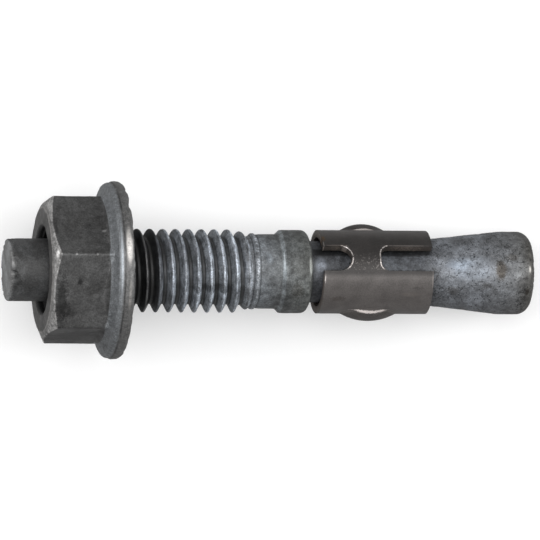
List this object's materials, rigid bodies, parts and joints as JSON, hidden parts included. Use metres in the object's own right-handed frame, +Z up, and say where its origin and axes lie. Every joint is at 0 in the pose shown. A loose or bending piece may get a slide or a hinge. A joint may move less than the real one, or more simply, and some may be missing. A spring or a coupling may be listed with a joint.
{
  "type": "wedge anchor",
  "caption": "Torque-set masonry anchor: threaded stud with expander cone, serrated flange nut and a slotted expansion clip round the neck.",
  "frame": {"origin": "middle of the footprint, on the surface that the anchor lies on", "axes": "+Z up, +X along the anchor towards its expander cone; the stud's axis leans down towards the cone, because the flange rim is wider than the cone"},
  "size_m": [0.0512, 0.017, 0.017],
  "materials": {
    "stud_zinc": "zinc plated, dull",
    "nut_zinc": "zinc plated, dark",
    "clip_steel": "plain rolled strip"
  },
  "bodies": {
    "stud": {"anchor_stud": "stud_zinc"},
    "clip": {"expansion_clip": "clip_steel"},
    "nut": {"flange_nut": "nut_zinc"}
  },
  "joints": [
    {"name": "clip_ride", "type": "slide", "parent": "stud", "child": "clip", "axis": [0.9935, 0, -0.1138], "range_m": [0, 0.00375], "deforming": ["expansion_clip"]},
    {"name": "nut_turn", "type": "hinge", "parent": "clip", "child": "nut", "pos_m": [-0.01829, 0, 0.00883], "axis": [0.9935, 0, -0.1138], "range_deg": [0, 1080]}
  ],
  "couplings": [
    {"joint": "clip_ride", "follows": "nut_turn", "m_per_rad": 0.00019894}
  ]
}
